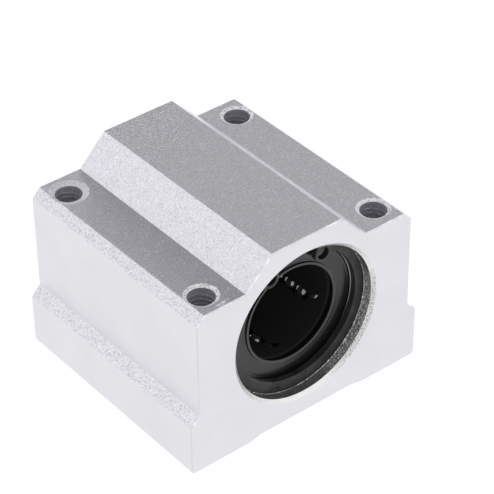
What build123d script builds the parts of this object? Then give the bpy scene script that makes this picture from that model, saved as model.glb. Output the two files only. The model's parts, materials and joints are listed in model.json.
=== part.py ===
from build123d import *
import os
from math import acos, atan2, cos, degrees, pi, radians, sin

# Linear ball bearing block, size 20: an aluminium pillow block with a recirculating ball
# bushing for a 20 mm shaft.
# Frame: X across the block, Y along the shaft, Z up. The origin is the middle of the base.
# Millimetres. "Front" is the -Y end and "rear" the +Y end.
# The bushing's own parts are made with the shaft axis on the Y axis, then lifted to AXIS_Z.

# ---- driving dimensions of the block ----
BLOCK_WIDTH = 54.0
BODY_WIDTH = 50.0
BLOCK_LENGTH = 50.0
BLOCK_HEIGHT = 41.0
SHELF_HEIGHT = 35.0
FLANGE_HEIGHT = 11.0
AXIS_Z = 21.0
HUMP_TOP_WIDTH = 16.0
SHELF_CHAMFER = 1.8
FOOT_CHAMFER = 0.6
RELIEF_DEPTH = 0.6
RELIEF_TOP_WIDTH = 22.2
RELIEF_BASE_WIDTH = 27.2
END_EDGE_BREAK = 0.25
CORNER_RADIUS = 0.3
BORE_RADIUS = 16.0
BORE_CHAMFER = 0.7

# ---- bolt holes through the block ----
BOLT_SPACING_X = 40.0
BOLT_SPACING_Y = 40.0
BOLT_HOLE_RADIUS = 2.6
COUNTERSINK_RADIUS = 3.3
COUNTERSINK_DEPTH = 0.4
WIDE_COUNTERSINK_RADIUS = 3.9
WIDE_COUNTERSINK_DEPTH = 0.45
BASE_HOLE_BREAK = 0.3

# ---- circlips that keep the bushing in the block ----
CIRCLIP_THICKNESS = 1.2
CIRCLIP_GROOVE_WIDTH = 1.3
CIRCLIP_GROOVE_RADIUS = 16.85
CIRCLIP_OUTER_RADIUS = 16.83
CIRCLIP_INNER_RADIUS = 13.95
CIRCLIP_ECCENTRICITY = 0.45
CIRCLIP_GAP_HALF_ANGLE = 19.0
CIRCLIP_END_GAP = 0.02
LUG_CENTRE_RADIUS = 13.2
LUG_HALF_ANGLE = 27.5
LUG_TIP_RADIUS = 1.85
LUG_HOLE_RADIUS = 1.3
LUG_FLANK_ANGLE = 49.3
LUG_FLANK_RADIUS = 14.4
LUG_ROOT_RADIUS = 15.6

# ---- outer sleeve of the bushing ----
BUSHING_LENGTH = 42.0
SLEEVE_RADIUS = 15.99
SLEEVE_CHAMFER = 0.5
RING_GROOVE_SPAN = 30.5
RING_GROOVE_WIDTH = 1.6
RING_GROOVE_RADIUS = 15.25
RELIEF_RADIUS = 14.5
RELIEF_HALF_LENGTH = 18.3
END_BORE_RADIUS = 14.0
END_BORE_CHAMFER = 0.3
RUN_OUT_RADIUS = 13.75
LAND_SETBACK = 1.1
LAND_HALF_ANGLE = 12.0
LAND_ROOT = 0.5

# ---- balls and their circuits ----
CIRCUITS = 5
FIRST_CIRCUIT_ANGLE = -27.0
SHAFT_RADIUS = 10.0
BALL_RADIUS = 1.5875
BALL_LIFT = 0.0225
BALL_PITCH = 3.35
BALLS_PER_ROW = 8
BALLS_PER_TURN = 3
RETURN_RADIUS = 12.85
TURN_LIFT = 0.3

# ---- ball retainer ----
RETAINER_HALF_LENGTH = 18.9
RETAINER_BORE_RADIUS = 10.25
RETAINER_RADIUS = 13.95
RETAINER_CHAMFER = 0.3
RETAINER_FLAT_RADIUS = 13.1
RETAINER_FLAT_HALF_ANGLE = 13.5
TRACK_CLEARANCE = 0.0625

# ---- snap rings and seals in the sleeve's two ends ----
SNAP_RING_START = 18.95
SNAP_RING_THICKNESS = 0.88
SNAP_RING_RADIUS = 14.85
SNAP_RING_INNER_RADIUS = 12.9
SNAP_RING_GAP = 3.0
SNAP_GROOVE_START = 18.92
SNAP_GROOVE_WIDTH = 0.94
SNAP_GROOVE_RADIUS = 14.9
SEAL_BACK = 19.88
SEAL_RIM = 20.55
SEAL_RADIUS = 13.98
SEAL_RIM_BREAK = 0.12
SEAL_DISH_RADII = (13.4, 12.4, 11.4)
SEAL_DISH_FACES = (20.45, 20.36, 20.3)
SEAL_LIP_FOOT_RADIUS = 10.62
SEAL_LIP_OUTER_RADIUS = 10.52
SEAL_LIP_FACE = 20.6
SEAL_LIP_BREAK = 0.08
SEAL_LIP_BACK = 20.0
SEAL_RELIEF_RADIUS = 10.5

# cutters run this far past the surface that they cut
OVERCUT = 1.0

# ---- worked out from the above ----
HALF_LENGTH = BLOCK_LENGTH / 2
BUSHING_END = BUSHING_LENGTH / 2
LOAD_RADIUS = SHAFT_RADIUS + BALL_RADIUS + BALL_LIFT
LAND_RADIUS = LOAD_RADIUS + BALL_RADIUS + BALL_LIFT
TURN_RADIUS = BALLS_PER_TURN * BALL_PITCH / pi
ROW_HALF_LENGTH = BALLS_PER_ROW * BALL_PITCH / 2
LAND_HALF_LENGTH = ROW_HALF_LENGTH - LAND_SETBACK
TRACK_RADIUS = BALL_RADIUS + TRACK_CLEARANCE
# A turn starts a little further out than its load row, so its balls clear the shaft, and runs
# straight into the return row. ROW_ANGLE is between its two ends, two turn radii apart.
TURN_START_RADIUS = LOAD_RADIUS + TURN_LIFT
ROW_ANGLE = acos(
    (TURN_START_RADIUS**2 + RETURN_RADIUS**2 - (2 * TURN_RADIUS) ** 2)
    / (2 * TURN_START_RADIUS * RETURN_RADIUS)
)
CIRCUIT_ANGLES = [FIRST_CIRCUIT_ANGLE + 360 / CIRCUITS * n for n in range(CIRCUITS)]

# Every circuit is made with its load row on the +X side, then turned about the shaft axis.
LOAD_POINT = Vector(LOAD_RADIUS, 0, 0)
TURN_START = Vector(TURN_START_RADIUS, 0, 0)
RETURN_POINT = Vector(RETURN_RADIUS * cos(ROW_ANGLE), 0, RETURN_RADIUS * sin(ROW_ANGLE))
ACROSS = (RETURN_POINT - TURN_START).normalized()
OUTWARD = Vector(0, 1, 0).cross(ACROSS)
TURN_MIDDLE = (TURN_START + RETURN_POINT) * 0.5

AXIS_LIFT = Pos(0, 0, AXIS_Z)
BORE_PLANE = Plane(origin=(0, 0, 0), x_dir=(1, 0, 0), z_dir=(0, 1, 0))


def at_angle(angle):
    """The placement that turns a part about the shaft axis, from +X towards +Z."""
    return Rot(0, -angle, 0)


def tube(outer, inner, start, end):
    """A ring about the Y axis, from start to end along it."""
    ring = Circle(outer) - Circle(inner) if inner else Circle(outer)
    return extrude(BORE_PLANE.offset(start) * ring, end - start)


def turned(points):
    """A solid of revolution about the Y axis, from its (radius, y) outline."""
    outline = make_face(Polyline(*[(r, y, 0) for r, y in points], close=True))
    return revolve(outline, Axis.Y)


def sector(half_angle, reach, half_length):
    """A wedge about the Y axis, centred on +X."""
    side = reach / cos(radians(half_angle))
    corners = [(0, 0, 0)]
    for angle in (-half_angle, half_angle):
        corners.append((side * cos(radians(angle)), 0, side * sin(radians(angle))))
    face = make_face(Polyline(*corners, close=True))
    return extrude(face, half_length, both=True)


# ---- the block ----
def block_outline():
    """The cross-section of the block, which runs the same all along Y, with its corners rounded."""
    half = BLOCK_WIDTH / 2
    body = BODY_WIDTH / 2
    hump = HUMP_TOP_WIDTH / 2
    hump_foot = hump + BLOCK_HEIGHT - SHELF_HEIGHT
    right = [
        (RELIEF_TOP_WIDTH / 2, RELIEF_DEPTH),
        (RELIEF_BASE_WIDTH / 2, 0),
        (half - FOOT_CHAMFER, 0),
        (half, FOOT_CHAMFER),
        (half, FLANGE_HEIGHT),
        (body, FLANGE_HEIGHT + half - body),
        (body, SHELF_HEIGHT - SHELF_CHAMFER),
        (body - SHELF_CHAMFER, SHELF_HEIGHT),
        (hump_foot, SHELF_HEIGHT),
        (hump, BLOCK_HEIGHT),
    ]
    left = [(-x, z) for x, z in reversed(right)]
    points = [(x, 0, z) for x, z in right + left]
    outline = make_face(Polyline(*points, close=True))
    return fillet(outline.vertices(), CORNER_RADIUS)


def bolt_hole_cutter(x, y):
    """A through hole with a flat-angled countersink on the shelf and a small break at the base."""
    wide = x < 0 < y
    top_radius = WIDE_COUNTERSINK_RADIUS if wide else COUNTERSINK_RADIUS
    top_depth = WIDE_COUNTERSINK_DEPTH if wide else COUNTERSINK_DEPTH
    outline = [
        (0, 0),
        (BOLT_HOLE_RADIUS + BASE_HOLE_BREAK, 0),
        (BOLT_HOLE_RADIUS, BASE_HOLE_BREAK),
        (BOLT_HOLE_RADIUS, SHELF_HEIGHT - top_depth),
        (top_radius, SHELF_HEIGHT),
        (0, SHELF_HEIGHT),
    ]
    face = make_face(Polyline(*[(r, 0, z) for r, z in outline], close=True))
    return Pos(x, y, 0) * revolve(face, Axis.Z)


def make_housing():
    block = extrude(block_outline(), BLOCK_LENGTH / 2, both=True)
    ends = block.faces().sort_by(Axis.Y)
    block = chamfer(ends[0].edges() + ends[-1].edges(), END_EDGE_BREAK)
    mouth = HALF_LENGTH - BORE_CHAMFER
    groove = BUSHING_END + CIRCLIP_GROOVE_WIDTH
    bore = turned(
        [
            (0, -HALF_LENGTH),
            (BORE_RADIUS + BORE_CHAMFER, -HALF_LENGTH),
            (BORE_RADIUS, -mouth),
            (BORE_RADIUS, -groove),
            (CIRCLIP_GROOVE_RADIUS, -groove),
            (CIRCLIP_GROOVE_RADIUS, -BUSHING_END),
            (BORE_RADIUS, -BUSHING_END),
            (BORE_RADIUS, BUSHING_END),
            (CIRCLIP_GROOVE_RADIUS, BUSHING_END),
            (CIRCLIP_GROOVE_RADIUS, groove),
            (BORE_RADIUS, groove),
            (BORE_RADIUS, mouth),
            (BORE_RADIUS + BORE_CHAMFER, HALF_LENGTH),
            (0, HALF_LENGTH),
        ]
    )
    block -= AXIS_LIFT * bore
    for x in (-BOLT_SPACING_X / 2, BOLT_SPACING_X / 2):
        for y in (-BOLT_SPACING_Y / 2, BOLT_SPACING_Y / 2):
            block -= bolt_hole_cutter(x, y)
    return block


# ---- circlips ----
def polar(radius, angle):
    """A point in the XZ plane, at an angle from +X towards +Z."""
    return Vector(radius * cos(radians(angle)), 0, radius * sin(radians(angle)))


def disc(radius, centre):
    """A circlip-thick disc across the Y axis, centred on a point of the XZ plane."""
    return Pos(*centre) * tube(radius, 0, 0, CIRCLIP_THICKNESS)


def plate(points):
    """A circlip-thick plate across the Y axis, from its outline in the XZ plane."""
    return extrude(make_face(Polyline(*points, close=True)), CIRCLIP_THICKNESS, dir=(0, 1, 0))


def lug_centre():
    return polar(LUG_CENTRE_RADIUS, 90 - LUG_HALF_ANGLE)


def lug():
    """The eared end of a circlip on the +X side of its gap."""
    centre = lug_centre()
    flank = polar(LUG_FLANK_RADIUS, LUG_FLANK_ANGLE)
    reach = flank - centre
    swing = acos(LUG_TIP_RADIUS / reach.length)
    tangent_angle = degrees(atan2(reach.Z, reach.X) - swing)
    gap_angle = 90 - CIRCLIP_GAP_HALF_ANGLE
    root = [
        polar(LUG_ROOT_RADIUS, LUG_FLANK_ANGLE),
        polar(LUG_ROOT_RADIUS, (LUG_FLANK_ANGLE + gap_angle) / 2),
        polar(LUG_ROOT_RADIUS, gap_angle),
    ]
    tip = [
        centre + polar(LUG_TIP_RADIUS, gap_angle + 90),
        centre,
        centre + polar(LUG_TIP_RADIUS, tangent_angle),
    ]
    return plate([flank] + root + tip) + disc(LUG_TIP_RADIUS, centre)


def make_circlip():
    """An internal retaining ring: widest opposite its gap, with two holed lugs beside the gap."""
    ring = disc(CIRCLIP_OUTER_RADIUS, (0, 0, 0))
    ring -= disc(CIRCLIP_INNER_RADIUS, (0, 0, CIRCLIP_ECCENTRICITY))
    reach = 2 * CIRCLIP_OUTER_RADIUS
    gap_edge = polar(reach, 90 - CIRCLIP_GAP_HALF_ANGLE)
    ring -= plate([(0, 0, 0), gap_edge, (-gap_edge.X, 0, gap_edge.Z)])
    ring += lug()
    ring += mirror(lug(), Plane.YZ)
    for side in (-1, 1):
        ring -= disc(LUG_HOLE_RADIUS, (side * lug_centre().X, 0, lug_centre().Z))
    return ring


# ---- outer sleeve ----
def land(angle):
    """One raceway land inside the sleeve: full height under the load row, lower past its ends."""
    ramp = LAND_HALF_LENGTH + RUN_OUT_RADIUS - LAND_RADIUS
    outline = [
        (RELIEF_RADIUS + LAND_ROOT, -RELIEF_HALF_LENGTH),
        (RUN_OUT_RADIUS, -RELIEF_HALF_LENGTH),
        (RUN_OUT_RADIUS, -ramp),
        (LAND_RADIUS, -LAND_HALF_LENGTH),
        (LAND_RADIUS, LAND_HALF_LENGTH),
        (RUN_OUT_RADIUS, ramp),
        (RUN_OUT_RADIUS, RELIEF_HALF_LENGTH),
        (RELIEF_RADIUS + LAND_ROOT, RELIEF_HALF_LENGTH),
    ]
    wedge = sector(LAND_HALF_ANGLE, RELIEF_RADIUS + OVERCUT, RELIEF_HALF_LENGTH)
    return at_angle(angle) * (turned(outline) & wedge)


def make_outer_sleeve():
    sleeve = tube(SLEEVE_RADIUS, END_BORE_RADIUS, -BUSHING_END, BUSHING_END)
    outer_edges = sleeve.edges().filter_by(GeomType.CIRCLE)
    outer_edges = outer_edges.filter_by(lambda e: e.radius > RELIEF_RADIUS)
    sleeve = chamfer(outer_edges, SLEEVE_CHAMFER)
    inner_edges = sleeve.edges().filter_by(GeomType.CIRCLE)
    inner_edges = inner_edges.filter_by(lambda e: e.radius < RELIEF_RADIUS)
    sleeve = chamfer(inner_edges, END_BORE_CHAMFER)
    relief = tube(RELIEF_RADIUS, 0, -RELIEF_HALF_LENGTH, RELIEF_HALF_LENGTH)
    sleeve -= relief
    groove_start = RING_GROOVE_SPAN / 2 - RING_GROOVE_WIDTH
    for start in (-RING_GROOVE_SPAN / 2, groove_start):
        sleeve -= tube(SLEEVE_RADIUS + OVERCUT, RING_GROOVE_RADIUS, start, start + RING_GROOVE_WIDTH)
    for start in (-SNAP_GROOVE_START - SNAP_GROOVE_WIDTH, SNAP_GROOVE_START):
        sleeve -= tube(SNAP_GROOVE_RADIUS, 0, start, start + SNAP_GROOVE_WIDTH)
    for angle in CIRCUIT_ANGLES:
        sleeve += land(angle)
    return sleeve


# ---- ball retainer ----
def straight_track(point):
    """The channel of one straight row: a round bottom and ends, with walls that open outwards."""
    row = Plane(origin=point, x_dir=ACROSS, z_dir=OUTWARD)
    bottom = Pos(*point) * tube(TRACK_RADIUS, 0, -ROW_HALF_LENGTH, ROW_HALF_LENGTH)
    for end in (-ROW_HALF_LENGTH, ROW_HALF_LENGTH):
        bottom += Pos(point.X, end, point.Z) * Sphere(TRACK_RADIUS)
    mouth = row * Rectangle(2 * TRACK_RADIUS, 2 * ROW_HALF_LENGTH)
    return [bottom, extrude(mouth, RETAINER_RADIUS)]


def turn_track(end):
    """The half-round channel that joins the two rows at one end (+1 is the +Y end)."""
    centre = TURN_MIDDLE + Vector(0, end * ROW_HALF_LENGTH, 0)
    turn = Plane(origin=centre, x_dir=ACROSS, z_dir=OUTWARD)
    section = Plane(origin=centre, x_dir=ACROSS, z_dir=(0, 1, 0))
    ball_path = section * (Pos(-TURN_RADIUS, 0) * Circle(TRACK_RADIUS))
    axis = Axis(centre, OUTWARD * end)
    bottom = revolve(ball_path, axis, 180)
    ring = Circle(TURN_RADIUS + TRACK_RADIUS) - Circle(TURN_RADIUS - TRACK_RADIUS)
    reach = 2 * (TURN_RADIUS + TRACK_RADIUS)
    # the plane's own y runs towards -Y
    half = Pos(0, -end * reach / 2) * Rectangle(2 * reach, reach)
    return [bottom, extrude(turn * (ring & half), RETAINER_RADIUS)]


def make_ball_retainer():
    cage = tube(RETAINER_RADIUS, RETAINER_BORE_RADIUS, -RETAINER_HALF_LENGTH, RETAINER_HALF_LENGTH)
    cage = chamfer(cage.edges().filter_by(GeomType.CIRCLE), RETAINER_CHAMFER)
    flat_ring = tube(RETAINER_RADIUS + OVERCUT, RETAINER_FLAT_RADIUS, -BUSHING_END, BUSHING_END)
    flat = flat_ring & sector(RETAINER_FLAT_HALF_ANGLE, RETAINER_RADIUS + 2 * OVERCUT, BUSHING_END)
    cutters = straight_track(LOAD_POINT) + straight_track(RETURN_POINT)
    cutters += turn_track(-1) + turn_track(1)
    for angle in CIRCUIT_ANGLES:
        cage -= at_angle(angle) * flat
        for cutter in cutters:
            cage -= at_angle(angle) * cutter
    return cage


# ---- snap rings and seals ----
def make_snap_ring():
    """A split flat ring in the sleeve's inner groove, which holds the retainer in."""
    end = SNAP_RING_START + SNAP_RING_THICKNESS
    ring = tube(SNAP_RING_RADIUS, SNAP_RING_INNER_RADIUS, SNAP_RING_START, end)
    return ring - Pos(0, 0, -SNAP_RING_RADIUS) * Box(SNAP_RING_GAP, 2 * end, SNAP_RING_RADIUS)


def make_seal():
    """A rubber end seal: a shallow dished face round the flat-faced lip that wipes the shaft."""
    return turned(
        [
            (SEAL_RADIUS, SEAL_BACK),
            (SEAL_RADIUS, SEAL_RIM - SEAL_RIM_BREAK),
            (SEAL_RADIUS - SEAL_RIM_BREAK, SEAL_RIM),
            *zip(SEAL_DISH_RADII, SEAL_DISH_FACES),
            (SEAL_LIP_FOOT_RADIUS, SEAL_DISH_FACES[-1]),
            (SEAL_LIP_OUTER_RADIUS, SEAL_LIP_FACE),
            (SHAFT_RADIUS + SEAL_LIP_BREAK, SEAL_LIP_FACE),
            (SHAFT_RADIUS, SEAL_LIP_FACE - SEAL_LIP_BREAK),
            (SHAFT_RADIUS, SEAL_LIP_BACK),
            (SEAL_RELIEF_RADIUS, SEAL_BACK),
        ]
    )


# ---- balls ----
def straight_row(point):
    """The balls of one straight row, half a pitch in from each end of it."""
    first = -ROW_HALF_LENGTH + BALL_PITCH / 2
    centres = [point + Vector(0, first + BALL_PITCH * n, 0) for n in range(BALLS_PER_ROW)]
    return [Pos(*centre) * Sphere(BALL_RADIUS) for centre in centres]


def turn_row(end):
    """The balls of one turn, half a pitch in from each end of its half circle."""
    balls = []
    for n in range(BALLS_PER_TURN):
        angle = (n + 0.5) * pi / BALLS_PER_TURN
        across = ACROSS * (-TURN_RADIUS * cos(angle))
        along = Vector(0, end * (ROW_HALF_LENGTH + TURN_RADIUS * sin(angle)), 0)
        balls.append(Pos(*(TURN_MIDDLE + across + along)) * Sphere(BALL_RADIUS))
    return balls


def ball_groups():
    """The ball groups of one circuit, by the name of their place in it."""
    return {
        "load_balls": straight_row(LOAD_POINT),
        "return_balls": straight_row(RETURN_POINT),
        "front_turn_balls": turn_row(-1),
        "rear_turn_balls": turn_row(1),
    }


def at_both_ends(rear_part, name):
    """Front and rear copies of a part made for the +Y end."""
    front_part = mirror(rear_part, Plane.XZ)
    return {f"front_{name}": AXIS_LIFT * front_part, f"rear_{name}": AXIS_LIFT * rear_part}


parts = {
    "housing": make_housing(),
    "outer_sleeve": AXIS_LIFT * make_outer_sleeve(),
    "ball_retainer": AXIS_LIFT * make_ball_retainer(),
}
parts.update(at_both_ends(Pos(0, BUSHING_END + CIRCLIP_END_GAP, 0) * make_circlip(), "circlip"))
parts.update(at_both_ends(make_snap_ring(), "snap_ring"))
parts.update(at_both_ends(make_seal(), "seal"))
for number, angle in enumerate(CIRCUIT_ANGLES, start=1):
    for name, balls in ball_groups().items():
        place = AXIS_LIFT * at_angle(angle)
        parts[f"circuit_{number}_{name}"] = Compound(children=[place * ball for ball in balls])

os.makedirs("parts", exist_ok=True)
for name, shape in parts.items():
    export_step(shape, f"parts/{name}.step")

print("circuit plane")
print(" row angle", round(degrees(ROW_ANGLE), 4))
print(" turn radius", round(TURN_RADIUS, 5), "row half length", ROW_HALF_LENGTH)
nearest = TURN_MIDDLE.dot(OUTWARD)
print(" least ball centre radius in a turn", round(nearest, 4))
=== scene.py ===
import json
import math
import random

import bpy
from mathutils import Matrix, Vector


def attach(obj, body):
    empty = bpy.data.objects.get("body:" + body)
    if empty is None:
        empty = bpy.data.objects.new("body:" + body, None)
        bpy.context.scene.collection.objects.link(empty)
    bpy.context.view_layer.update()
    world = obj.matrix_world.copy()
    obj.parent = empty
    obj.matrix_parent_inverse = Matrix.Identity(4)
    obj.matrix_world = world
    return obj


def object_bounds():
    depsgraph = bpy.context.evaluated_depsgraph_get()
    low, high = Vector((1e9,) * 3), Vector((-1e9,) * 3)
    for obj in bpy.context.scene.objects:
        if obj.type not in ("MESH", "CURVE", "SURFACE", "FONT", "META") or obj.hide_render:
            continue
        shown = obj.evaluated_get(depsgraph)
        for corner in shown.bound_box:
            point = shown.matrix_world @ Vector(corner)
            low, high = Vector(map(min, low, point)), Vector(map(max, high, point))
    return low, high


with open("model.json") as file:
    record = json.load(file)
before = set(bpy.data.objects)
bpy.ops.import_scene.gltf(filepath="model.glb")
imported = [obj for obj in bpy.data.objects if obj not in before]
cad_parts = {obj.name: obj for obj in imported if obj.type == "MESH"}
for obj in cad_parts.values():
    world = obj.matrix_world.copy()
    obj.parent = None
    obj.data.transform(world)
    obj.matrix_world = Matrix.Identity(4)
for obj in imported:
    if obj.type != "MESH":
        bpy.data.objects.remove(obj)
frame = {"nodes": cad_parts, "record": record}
cad_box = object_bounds()
MM = 0.001

# ---- places and sizes, in metres: what the frame says, then the block's own edges ----
LOW, HIGH = cad_box
MOUNTS = {mount["name"]: mount for mount in frame["record"]["mounts"]}
BORE_HEIGHT = MOUNTS["shaft_bore"]["pos_m"][2]
SHAFT_RADIUS = MOUNTS["shaft_bore"]["dims"]["r_mm"] * MM
HOLE_X = MOUNTS["top_bolt_holes"]["dims"]["spacing_x_mm"] * MM / 2
HOLE_Y = MOUNTS["top_bolt_holes"]["dims"]["spacing_y_mm"] * MM / 2
HOLE_RADIUS = MOUNTS["top_bolt_holes"]["dims"]["hole_r_mm"] * MM
SHELF_HEIGHT = MOUNTS["top_bolt_holes"]["pos_m"][2]
BORE_RADIUS = 16.0 * MM
BORE_CHAMFER = 0.7 * MM
CHAMFER_START = HIGH.y - BORE_CHAMFER
GROOVE_EDGE = 22.3 * MM
SHELF_EDGE = 23.2 * MM
CORNER_START = 22.7 * MM
SINK_REACH = 4.0 * MM
SINK_DEPTH = 0.4 * MM
CHIP_PLACE = (-18.6 * MM, -24.2 * MM)
CHIP_SIZE = (1.6 * MM, 0.45 * MM)
CHIP_DEPTH = 0.22 * MM
ROUGH_SPARKLE_SIDE = (0.90, 0.0, -0.43)

# ---- camera: a long lens, from the left, the front and above ----
CAMERA_PLACE = (-0.20183, -0.26242, 0.27484)
CAMERA_TARGET = (0.00501, -0.00148, 0.02259)
CAMERA_ROLL = math.radians(-0.876)
LENS = 161.6

# ---- thread in each bolt hole: its ridge stands a little proud of the hole's wall ----
THREAD_PITCH = 1.0 * MM
THREAD_TURNS = 11
THREAD_DEPTH = 12.0 * MM
THREAD_LOW = SHELF_HEIGHT - THREAD_DEPTH
THREAD_STEPS = 40
THREAD_ROOT = HOLE_RADIUS + 0.05 * MM
THREAD_CREST = HOLE_RADIUS - 0.03 * MM
THREAD_HALF_WIDTH = 0.06 * MM
THREAD_RUN_OUT = 0.75

# ---- burr at the outer edge of each circlip groove ----
BURR_SEED = 3
BURR_STEPS = 420
BURR_ROOT = BORE_RADIUS + 0.03 * MM
BURR_HEIGHTS = (0.05 * MM, 0.15 * MM)
BURR_WIDTH = 0.18 * MM
BURR_LEAN = 0.05 * MM

# ---- tints, as shares of a grey ----
ALUMINIUM = (1.01, 1.0, 1.05)
BLASTED = (1.01, 1.0, 1.075)
WARM = (1.03, 1.0, 0.99)

# ---- light: a white tent with one grey panel behind on the right ----
FLOOR_GLOW = 1.0
TENT_GLOW = 1.0
PANEL_GLOW = 0.18
PANEL_DIRECTION = (0.34, 0.41, 0.846)
PANEL_EDGE = 0.71
PANEL_INNER = 0.94


class Nodes:
    """A short way to write a node tree: each call adds a node and returns its first output."""

    def __init__(self, tree):
        self.tree = tree
        tree.nodes.clear()

    def add(self, kind, inputs=None, **settings):
        node = self.tree.nodes.new(kind)
        for name, value in settings.items():
            setattr(node, name, value)
        for name, value in (inputs or {}).items():
            self.set(node, name, value)
        return node

    def set(self, node, name, value):
        socket = node.inputs[name]
        if isinstance(value, bpy.types.NodeSocket):
            self.tree.links.new(value, socket)
        else:
            socket.default_value = value

    def math(self, operation, a, b=0.0, clamp=False):
        node = self.add("ShaderNodeMath", {0: a, 1: b}, operation=operation, use_clamp=clamp)
        return node.outputs[0]

    def ramp(self, value, low, high, to_low=0.0, to_high=1.0, smooth=True):
        """value mapped from low..high to to_low..to_high, clamped."""
        node = self.add("ShaderNodeMapRange", {0: value, 1: low, 2: high, 3: to_low, 4: to_high})
        node.interpolation_type = "SMOOTHSTEP" if smooth else "LINEAR"
        return node.outputs[0]

    def mix(self, factor, a, b):
        """The colour a where factor is 0 and b where it is 1."""
        node = self.add("ShaderNodeMix", {"Factor": factor}, data_type="RGBA")
        self.set(node, 6, a)
        self.set(node, 7, b)
        return node.outputs[2]

    def blend(self, factor, a, b):
        """The number a where factor is 0 and b where it is 1."""
        node = self.add("ShaderNodeMix", {"Factor": factor}, data_type="FLOAT")
        self.set(node, 2, a)
        self.set(node, 3, b)
        return node.outputs[0]

    def place(self):
        return self.add("ShaderNodeTexCoord").outputs["Object"]

    def split(self, vector):
        return self.add("ShaderNodeSeparateXYZ", {0: vector}).outputs

    def noise(self, place, size, detail=2.0, roughness=0.5):
        """Noise whose grain is about size metres."""
        inputs = {"Vector": place, "Scale": 1 / size, "Detail": detail, "Roughness": roughness}
        return self.add("ShaderNodeTexNoise", inputs).outputs["Fac"]

    def grains(self, place, size):
        """A random number for each grain of about size metres."""
        node = self.add("ShaderNodeTexVoronoi", {"Vector": place, "Scale": 1 / size})
        return self.split(node.outputs["Color"])[0]

    def bore_radius(self, place):
        """The distance from the bore's axis."""
        x, _, z = self.split(place)
        rise = self.math("SUBTRACT", z, BORE_HEIGHT)
        square = self.math("ADD", self.math("MULTIPLY", x, x), self.math("MULTIPLY", rise, rise))
        return self.math("SQRT", square)

    def bump(self, height, distance, strength=1.0, below=None):
        inputs = {"Height": height, "Distance": distance, "Strength": strength}
        node = self.add("ShaderNodeBump", inputs)
        if below is not None:
            self.set(node, "Normal", below)
        return node.outputs[0]

    def finish(self, **inputs):
        names = {"color": "Base Color", "metallic": "Metallic", "roughness": "Roughness"}
        names.update(normal="Normal", specular="Specular IOR Level")
        shader = self.add("ShaderNodeBsdfPrincipled")
        for name, value in inputs.items():
            self.set(shader, names[name], value)
        self.add("ShaderNodeOutputMaterial", {"Surface": shader.outputs[0]})


def grey(value, tint=(1.0, 1.0, 1.0)):
    return tuple(value * share for share in tint) + (1.0,)


def material(name):
    made = bpy.data.materials.new(name)
    made.use_nodes = True
    return made, Nodes(made.node_tree)


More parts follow.
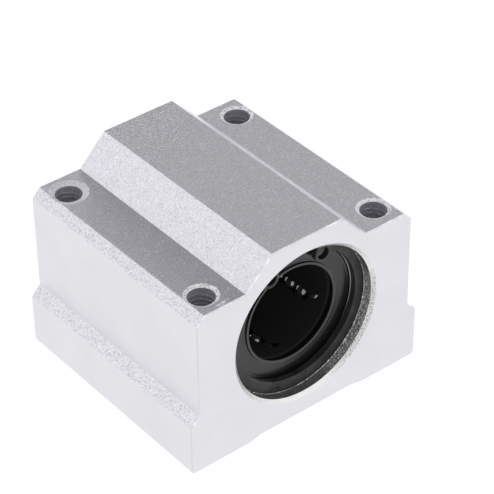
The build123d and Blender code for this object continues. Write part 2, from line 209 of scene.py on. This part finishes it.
# ---- materials; every number below is a grey, a share, a roughness or a grain size ----
def block_aluminium():
    """Bead-blasted aluminium on the tops and steps, smooth ends and sides, rough-cut mouths; painted
    white glints on the blasted faces, and painted shade with painted sparkle on the bore walls.
    """
    made, n = material("block_aluminium")
    place = n.place()
    x, y, z = n.split(place)
    _, face_y, face_z = n.split(n.add("ShaderNodeNewGeometry").outputs["Normal"])
    upward = n.ramp(face_z, 0.2, 0.5)
    endward = n.ramp(n.math("ABSOLUTE", face_y), 0.8, 0.95)
    radius = n.bore_radius(place)
    edge = BORE_RADIUS + BORE_CHAMFER
    in_mouth = n.ramp(radius, edge + 0.12 * MM, edge + 0.04 * MM)
    in_mouth = n.math("MULTIPLY", in_mouth, n.math("SUBTRACT", 1.0, endward))
    in_chamfer = n.ramp(n.math("ABSOLUTE", y), CHAMFER_START - 0.05 * MM, CHAMFER_START + 0.05 * MM)
    in_chamfer = n.math("MULTIPLY", in_mouth, in_chamfer)

    # the mouth is cut rougher towards one side of its foot, and painted sparkle in the bore wall's
    # colour sits on that same side
    toward_rough_sparkle = n.add("ShaderNodeVectorMath", {0: place, 1: ROUGH_SPARKLE_SIDE}, operation="DOT_PRODUCT")
    from_axis = n.math("SUBTRACT", toward_rough_sparkle.outputs["Value"], ROUGH_SPARKLE_SIDE[2] * BORE_HEIGHT)
    rough_and_sparkle = n.ramp(from_axis, 0.6 * BORE_RADIUS, 1.0 * BORE_RADIUS)

    hole_x = n.math("SUBTRACT", n.math("ABSOLUTE", x), HOLE_X)
    hole_y = n.math("SUBTRACT", n.math("ABSOLUTE", y), HOLE_Y)
    squares = n.math("ADD", n.math("MULTIPLY", hole_x, hole_x), n.math("MULTIPLY", hole_y, hole_y))
    from_hole = n.math("SQRT", squares)
    near_hole = n.ramp(from_hole, SINK_REACH + 0.1 * MM, SINK_REACH)
    on_shelf = n.ramp(n.math("ABSOLUTE", x), SHELF_EDGE + 0.05 * MM, SHELF_EDGE)
    near_hole = n.math("MULTIPLY", near_hole, on_shelf)
    tilted = n.math("MULTIPLY", upward, n.ramp(face_z, 0.99, 0.9))
    in_sink = n.math("MULTIPLY", near_hole, tilted)
    below_sink = n.ramp(z, SHELF_HEIGHT - SINK_DEPTH, SHELF_HEIGHT - SINK_DEPTH - 0.1 * MM)
    on_wall = n.ramp(from_hole, HOLE_RADIUS + 0.15 * MM, HOLE_RADIUS + 0.1 * MM)
    in_hole = n.math("MULTIPLY", on_wall, below_sink)

    grain = n.noise(place, 0.30 * MM, detail=3.0, roughness=0.6)
    coarse = n.noise(place, 0.55 * MM, detail=3.0, roughness=0.65)
    fine = n.noise(place, 0.22 * MM, detail=3.0)
    cloud = n.noise(place, 9 * MM, detail=2.0)
    speck = n.grains(place, 0.24 * MM)
    sloped = n.math("MULTIPLY", upward, n.ramp(face_z, 0.95, 0.8))

    smooth_tone = n.mix(n.ramp(cloud, 0.3, 0.7), grey(0.73, ALUMINIUM), grey(0.755, ALUMINIUM))
    blasted_tone = n.mix(n.ramp(grain, 0.3, 0.7), grey(0.68, BLASTED), grey(0.84, BLASTED))
    slope_tone = n.mix(n.ramp(grain, 0.3, 0.7), grey(0.70, BLASTED), grey(0.90, BLASTED))
    blasted_tone = n.mix(sloped, blasted_tone, slope_tone)
    dark_speck = n.math("MULTIPLY", n.ramp(speck, 0.14, 0.02), sloped)
    blasted_tone = n.mix(n.math("MULTIPLY", dark_speck, 0.4), blasted_tone, grey(0.4, BLASTED))
    # painted glints: white specks mixed into the blasted grey
    glint_speck = n.ramp(speck, 0.93, 1.0)
    blasted_tone = n.mix(n.math("MULTIPLY", glint_speck, 0.8), blasted_tone, grey(1.0))
    corner = n.ramp(n.math("ABSOLUTE", x), CORNER_START, CORNER_START + 0.2 * MM)
    corner = n.math("MULTIPLY", sloped, corner)
    mottle = n.math("MULTIPLY", corner, n.ramp(coarse, 0.5, 0.36))
    blasted_tone = n.mix(n.math("MULTIPLY", mottle, 0.5), blasted_tone, grey(0.45, BLASTED))
    # painted glints: more white sparkle on the flat blasted faces
    sparkle = n.ramp(n.grains(place, 0.3 * MM), 0.955, 0.975)
    sparkle = n.math("MULTIPLY", sparkle, n.math("SUBTRACT", 1.0, sloped))
    blasted_tone = n.mix(n.math("MULTIPLY", sparkle, 0.8), blasted_tone, grey(1.0))
    color = n.mix(upward, smooth_tone, blasted_tone)
    broken = n.ramp(n.math("ABSOLUTE", face_y), 0.3, 0.5)
    broken = n.math("MULTIPLY", broken, n.math("SUBTRACT", 1.0, endward))
    wear = n.ramp(n.noise(place, 1.6 * MM, detail=4.0, roughness=0.7), 0.42, 0.68)
    worn_tone = n.mix(wear, grey(0.74, ALUMINIUM), grey(0.97, ALUMINIUM))
    edge_tone = n.mix(upward, grey(0.69, ALUMINIUM), worn_tone)
    color = n.mix(broken, color, edge_tone)
    # painted shade: the bore walls get a dark grey that stands for the shade and dark reflection
    # inside the bore, not the aluminium's own tone
    wall_shade_tone = n.mix(n.ramp(fine, 0.3, 0.7), grey(0.28), grey(0.42))
    # painted sparkle: bright grains in the wall's grey on the rough side
    wall_shade_tone = n.mix(rough_and_sparkle, wall_shade_tone, n.mix(n.ramp(grain, 0.48, 0.6), grey(0.28), grey(0.95)))
    color = n.mix(in_mouth, color, wall_shade_tone)
    torn = n.blend(rough_and_sparkle, 0.3, 1.0)
    rough_cut = n.mix(n.math("MULTIPLY", torn, n.ramp(fine, 0.56, 0.44)), grey(0.92), grey(0.55))
    color = n.mix(in_chamfer, color, rough_cut)
    sink_tone = n.mix(n.ramp(coarse, 0.38, 0.5), grey(0.68, BLASTED), grey(1.0, BLASTED))
    color = n.mix(in_sink, color, sink_tone)
    color = n.mix(in_hole, color, n.mix(fine, grey(0.64, BLASTED), grey(0.82, BLASTED)))

    smooth_rough = n.ramp(fine, 0.3, 0.7, 0.34, 0.42)
    roughness = n.blend(upward, smooth_rough, n.ramp(grain, 0.3, 0.7, 0.28, 0.40))
    roughness = n.blend(in_mouth, roughness, n.ramp(fine, 0.3, 0.7, 0.3, 0.5))
    roughness = n.blend(in_hole, roughness, 0.5)
    roughness = n.blend(in_sink, roughness, 0.6)

    pits = n.blend(upward, n.math("MULTIPLY", fine, 0.04), fine)
    pits = n.blend(in_sink, pits, n.math("MULTIPLY", grain, 2.4))
    pits = n.blend(in_mouth, pits, n.math("MULTIPLY", grain, n.ramp(rough_and_sparkle, 0.0, 1.0, 1.0, 6.0)))
    pits = n.blend(in_chamfer, pits, n.math("MULTIPLY", grain, n.ramp(rough_and_sparkle, 0.0, 1.0, 0.6, 2.5)))
    normal = n.bump(pits, 0.13 * MM)

    # one chipped spot on the front edge of the left shelf
    along = n.math("DIVIDE", n.math("SUBTRACT", x, CHIP_PLACE[0]), CHIP_SIZE[0])
    across = n.math("DIVIDE", n.math("SUBTRACT", y, CHIP_PLACE[1]), CHIP_SIZE[1])
    squares = n.math("ADD", n.math("MULTIPLY", along, along), n.math("MULTIPLY", across, across))
    squares = n.math("ADD", squares, n.ramp(coarse, 0.3, 0.7, 0.0, 1.2))
    chip = n.math("MULTIPLY", n.ramp(squares, 1.3, 0.7), upward)
    color = n.mix(chip, color, grey(0.97, BLASTED))
    dent = n.math("MULTIPLY", chip, n.ramp(grain, 0.3, 0.7, 0.5, 1.0))
    normal = n.bump(dent, -CHIP_DEPTH, below=normal)
    n.finish(color=color, metallic=1.0, roughness=roughness, normal=normal)
    return made


def burr_aluminium():
    """Bright torn aluminium."""
    made, n = material("burr_aluminium")
    torn = n.noise(n.place(), 0.35 * MM, detail=2.0)
    color = n.mix(n.ramp(torn, 0.45, 0.62), grey(0.2), grey(0.85))
    n.finish(color=color, metallic=1.0, roughness=n.ramp(torn, 0.3, 0.7, 0.3, 0.45))
    return made


def circlip_steel():
    """Dark phosphated spring steel."""
    made, n = material("circlip_steel")
    place = n.place()
    fine = n.noise(place, 0.15 * MM, detail=3.0)
    cloud = n.noise(place, 3 * MM)
    color = n.mix(n.ramp(cloud, 0.3, 0.7), grey(0.05, WARM), grey(0.075, WARM))
    speck = n.ramp(n.grains(place, 0.7 * MM), 0.015, 0.0)
    color = n.mix(speck, color, grey(0.02))
    roughness = n.ramp(fine, 0.3, 0.7, 0.42, 0.58)
    normal = n.bump(fine, 0.01 * MM, 0.5)
    n.finish(color=color, metallic=0.85, roughness=roughness, normal=normal)
    return made


def seal_rubber():
    """Glossy black moulded rubber, turned smooth in fine rings, with its wiping lip painted a lighter
    grey as a painted highlight.
    """
    made, n = material("seal_rubber")
    place = n.place()
    radius = n.bore_radius(place)
    _, face_y, _ = n.split(n.add("ShaderNodeNewGeometry").outputs["Normal"])
    endward = n.ramp(n.math("ABSOLUTE", face_y), 0.5, 0.8)
    fine = n.noise(place, 0.12 * MM, detail=2.0)
    lip = n.ramp(radius, SHAFT_RADIUS + 0.6 * MM, SHAFT_RADIUS + 0.5 * MM)
    lip = n.math("MULTIPLY", lip, endward)
    rings = n.math("SINE", n.math("MULTIPLY", radius, 2 * math.pi / (0.31 * MM)))
    color = n.mix(fine, grey(0.004), grey(0.008))
    # painted highlight: the lip is painted lighter grey, standing for the light it catches
    color = n.mix(lip, color, n.mix(fine, grey(0.035, WARM), grey(0.055, WARM)))
    roughness = n.blend(lip, n.ramp(fine, 0.3, 0.7, 0.17, 0.24), 0.5)
    normal = n.bump(rings, 0.004 * MM, 0.5)
    normal = n.bump(fine, 0.004 * MM, 0.4, below=normal)
    n.finish(color=color, metallic=0.0, roughness=roughness, normal=normal)
    return made


def retainer_resin():
    """Black moulded resin."""
    made, n = material("retainer_resin")
    place = n.place()
    fine = n.noise(place, 0.2 * MM, detail=3.0)
    color = n.mix(fine, grey(0.012), grey(0.022))
    roughness = n.ramp(fine, 0.3, 0.7, 0.4, 0.55)
    n.finish(color=color, roughness=roughness, normal=n.bump(fine, 0.008 * MM, 0.4), specular=0.06)
    return made


def bearing_steel():
    """Ground hardened steel, with fine grinding lines around it, painted a dark grey as painted shade
    for its place inside the bore.
    """
    made, n = material("bearing_steel")
    place = n.place()
    stretched = n.add("ShaderNodeMapping", {"Vector": place, "Scale": (1.0, 30.0, 1.0)}).outputs[0]
    lines = n.noise(stretched, 2 * MM, detail=4.0)
    # painted shade: dark grey standing for the shade the sleeve sits in, well below the steel's own
    # tone
    color = n.mix(lines, grey(0.15, WARM), grey(0.25, WARM))
    roughness = n.ramp(lines, 0.3, 0.7, 0.2, 0.34)
    n.finish(color=color, metallic=1.0, roughness=roughness, normal=n.bump(lines, 0.003 * MM, 0.4))
    return made


def spring_steel():
    """Blued spring steel."""
    made, n = material("spring_steel")
    place = n.place()
    cloud = n.noise(place, 2 * MM, detail=3.0)
    color = n.mix(cloud, (0.05, 0.055, 0.075, 1.0), (0.11, 0.105, 0.10, 1.0))
    fine = n.noise(place, 0.15 * MM)
    roughness = n.ramp(fine, 0.3, 0.7, 0.3, 0.42)
    n.finish(color=color, metallic=1.0, roughness=roughness, normal=n.bump(fine, 0.005 * MM, 0.3))
    return made


def ball_steel():
    """Polished balls, their grey kept dark as painted shade for the dim bore they sit in, with a
    patchy film of oil.
    """
    made, n = material("ball_steel")
    place = n.place()
    film = n.noise(place, 0.8 * MM, detail=2.0)
    # painted shade: the dark grey stands for the shade deep in the bore and dims the balls'
    # reflections; the patches follow the oil film
    color = n.mix(film, grey(0.18, WARM), grey(0.3))
    roughness = n.ramp(film, 0.3, 0.7, 0.06, 0.14)
    n.finish(color=color, metallic=0.88, roughness=roughness)
    return made


def dress_nodes():
    """Every CAD node takes the material of its slot in the record; returns the materials by slot."""
    makers = (block_aluminium, circlip_steel, seal_rubber, retainer_resin, bearing_steel)
    made = {maker.__name__: maker() for maker in makers + (spring_steel, ball_steel)}
    for part in frame["record"]["subparts"]:
        mesh = frame["nodes"][part["node"]].data
        mesh.materials.clear()
        mesh.materials.append(made[part["material_slot"]])
    return made


# ---- pieces cut in the block, besides its CAD nodes ----
def add_piece(name, points, faces, finish):
    """A closed mesh that rides the block."""
    mesh = bpy.data.meshes.new(name)
    mesh.from_pydata(points, [], faces)
    mesh.update()
    mesh.materials.append(finish)
    piece = bpy.data.objects.new(name, mesh)
    bpy.context.scene.collection.objects.link(piece)
    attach(piece, "block")


def thread_section(turn, centre):
    """The three corners of the ridge at one point of its helix: two in the wall, one at its crest."""
    height = THREAD_LOW + turn * THREAD_PITCH
    ends = min(turn, THREAD_TURNS - turn) / THREAD_RUN_OUT
    crest = THREAD_ROOT - min(1.0, ends) * (THREAD_ROOT - THREAD_CREST)
    angle = 2 * math.pi * turn
    side = Vector((math.cos(angle), math.sin(angle), 0))
    corners = ((THREAD_ROOT, -THREAD_HALF_WIDTH), (crest, 0.0), (THREAD_ROOT, THREAD_HALF_WIDTH))
    return [centre + side * radius + Vector((0, 0, height + rise)) for radius, rise in corners]


def add_thread(name, x, y, finish):
    """One closed helical ridge, sunk into the wall of the hole at x, y."""
    centre = Vector((x, y, 0))
    count = THREAD_TURNS * THREAD_STEPS
    points = []
    for step in range(count + 1):
        points += thread_section(step / THREAD_STEPS, centre)
    faces = [(2, 1, 0), (3 * count, 3 * count + 1, 3 * count + 2)]
    for step in range(count):
        for corner in range(3):
            a, b = 3 * step + corner, 3 * step + (corner + 1) % 3
            faces.append((a, b, b + 3, a + 3))
    add_piece(name, points, faces, finish)


def add_threads(finish):
    """A faint thread in each bolt hole, just under the shelf."""
    for side, x in (("left", -HOLE_X), ("right", HOLE_X)):
        for end, y in (("front", -HOLE_Y), ("rear", HOLE_Y)):
            add_thread(f"{end}_{side}_bolt_thread", x, y, finish)


def add_burr(name, end, finish):
    """The bright burr at the outer edge of a circlip groove: a ring with a slightly uneven crest."""
    uneven = random.Random(BURR_SEED)
    points = []
    for step in range(BURR_STEPS):
        angle = 2 * math.pi * step / BURR_STEPS
        crest = BURR_ROOT - uneven.uniform(*BURR_HEIGHTS)
        for radius, rise in ((BURR_ROOT, 0.0), (BURR_ROOT, BURR_WIDTH), (crest, BURR_LEAN)):
            along = end * (GROOVE_EDGE + rise)
            points.append((radius * math.cos(angle), along, BORE_HEIGHT + radius * math.sin(angle)))
    faces = []
    for step in range(BURR_STEPS):
        for corner in range(3):
            a, b = 3 * step + corner, 3 * step + (corner + 1) % 3
            c, d = (b + 3) % len(points), (a + 3) % len(points)
            faces.append((d, c, b, a) if end < 0 else (a, b, c, d))
    add_piece(name, points, faces, finish)


# ---- stage ----
def add_camera():
    data = bpy.data.cameras.new("camera")
    data.lens = LENS
    data.clip_start = 0.01
    camera = bpy.data.objects.new("camera", data)
    look = (Vector(CAMERA_TARGET) - Vector(CAMERA_PLACE)).to_track_quat("-Z", "Y")
    turn = look.to_matrix().to_4x4() @ Matrix.Rotation(CAMERA_ROLL, 4, "Z")
    camera.matrix_world = Matrix.Translation(CAMERA_PLACE) @ turn
    bpy.context.scene.collection.objects.link(camera)
    bpy.context.scene.camera = camera


def add_floor():
    """A white glowing table, so that the block stands in plain white with a faint shadow."""
    bpy.ops.mesh.primitive_plane_add(size=6.0, location=(0, 0, LOW.z - 0.02 * MM))
    floor = bpy.context.object
    floor.name = "floor"
    made, n = material("floor_white")
    shader = n.add("ShaderNodeBsdfPrincipled")
    n.set(shader, "Base Color", grey(0.05))
    n.set(shader, "Roughness", 0.9)
    n.set(shader, "Specular IOR Level", 0.0)
    n.set(shader, "Emission Color", grey(1.0))
    n.set(shader, "Emission Strength", FLOOR_GLOW)
    n.add("ShaderNodeOutputMaterial", {"Surface": shader.outputs[0]})
    floor.data.materials.append(made)


def add_sky():
    """The tent, with the grey panel that the tops reflect."""
    world = bpy.data.worlds.new("sky")
    world.use_nodes = True
    bpy.context.scene.world = world
    n = Nodes(world.node_tree)
    direction = n.add("ShaderNodeTexCoord").outputs["Generated"]
    facing = n.add("ShaderNodeVectorMath", {0: direction, 1: PANEL_DIRECTION}, operation="DOT_PRODUCT")
    strength = n.ramp(facing.outputs["Value"], PANEL_EDGE, PANEL_INNER, TENT_GLOW, PANEL_GLOW)
    back = n.add("ShaderNodeBackground", {"Color": grey(1.0), "Strength": strength})
    n.add("ShaderNodeOutputWorld", {"Surface": back.outputs[0]})


def set_stage():
    add_camera()
    add_floor()
    add_sky()
    bpy.context.scene.view_settings.view_transform = "Standard"


materials = dress_nodes()
add_threads(materials["block_aluminium"])
bright = burr_aluminium()
add_burr("front_groove_burr", -1, bright)
add_burr("rear_groove_burr", 1, bright)
set_stage()
